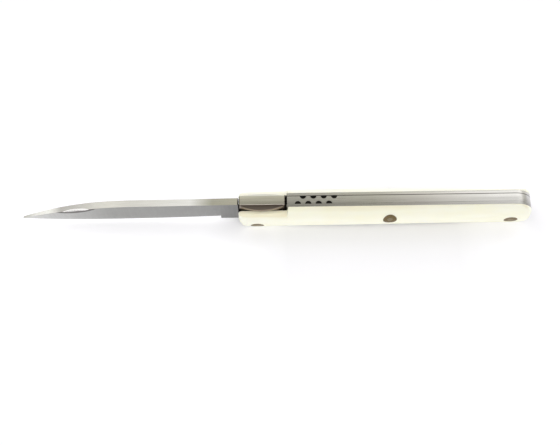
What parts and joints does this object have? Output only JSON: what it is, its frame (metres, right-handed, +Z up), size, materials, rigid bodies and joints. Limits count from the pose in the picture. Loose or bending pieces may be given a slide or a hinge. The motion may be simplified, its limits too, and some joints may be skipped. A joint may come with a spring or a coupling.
{
  "type": "folding pocket knife",
  "caption": "Slim folding pocket knife, shown open: drop-point blade with nail nick, rocking lock lever, steel back spring and liners, rounded cream scales, bronze rivets.",
  "frame": {"origin": "centre of the open knife's footprint, on the surface that its belly stands on", "axes": "+X from the blade's tip to the butt, +Y across the knife to its right side, +Z up to the spine"},
  "size_m": [0.21, 0.014, 0.0176],
  "materials": {
    "blade_steel": "satin brushed across the blade",
    "lever_steel": "satin, browned on the chamfers",
    "spring_steel": "brushed lengthwise",
    "liner_steel": "brushed lengthwise",
    "scale_ivory": "polished cream-coloured bone or resin",
    "rivet_bronze": "dull bronze, ground flush",
    "pin_bronze": "lighter bronze, ground flush"
  },
  "bodies": {
    "handle": {"lever_spring": "spring_steel", "back_spring": "spring_steel", "left_liner": "liner_steel", "right_liner": "liner_steel", "left_pivot_washer": "rivet_bronze", "right_pivot_washer": "rivet_bronze", "left_pivot_rosette": "rivet_bronze", "right_pivot_rosette": "rivet_bronze", "left_centre_rosette": "rivet_bronze", "right_centre_rosette": "rivet_bronze", "left_rear_rosette": "rivet_bronze", "right_rear_rosette": "rivet_bronze", "lever_pin": "pin_bronze", "pivot_pin": "pin_bronze", "centre_pin": "pin_bronze", "rear_pin": "pin_bronze", "left_scale": "scale_ivory", "right_scale": "scale_ivory"},
    "blade": {"blade": "blade_steel", "pivot_bush": "rivet_bronze"},
    "lever": {"lock_lever": "lever_steel"}
  },
  "joints": [
    {"name": "blade_pivot", "type": "hinge", "parent": "handle", "child": "blade", "pos_m": [-0.0074, 0, 0.0056], "axis": [0, -1, 0], "range_deg": [0, 180]},
    {"name": "lever_rock", "type": "hinge", "parent": "handle", "child": "lever", "pos_m": [-0.0018, 0, 0.0112], "axis": [0, 1, 0], "range_deg": [0, 4.5], "stiffness_Nm_per_rad": 0.4, "springref_deg": -2.86, "deforming": ["lever_spring"]}
  ]
}
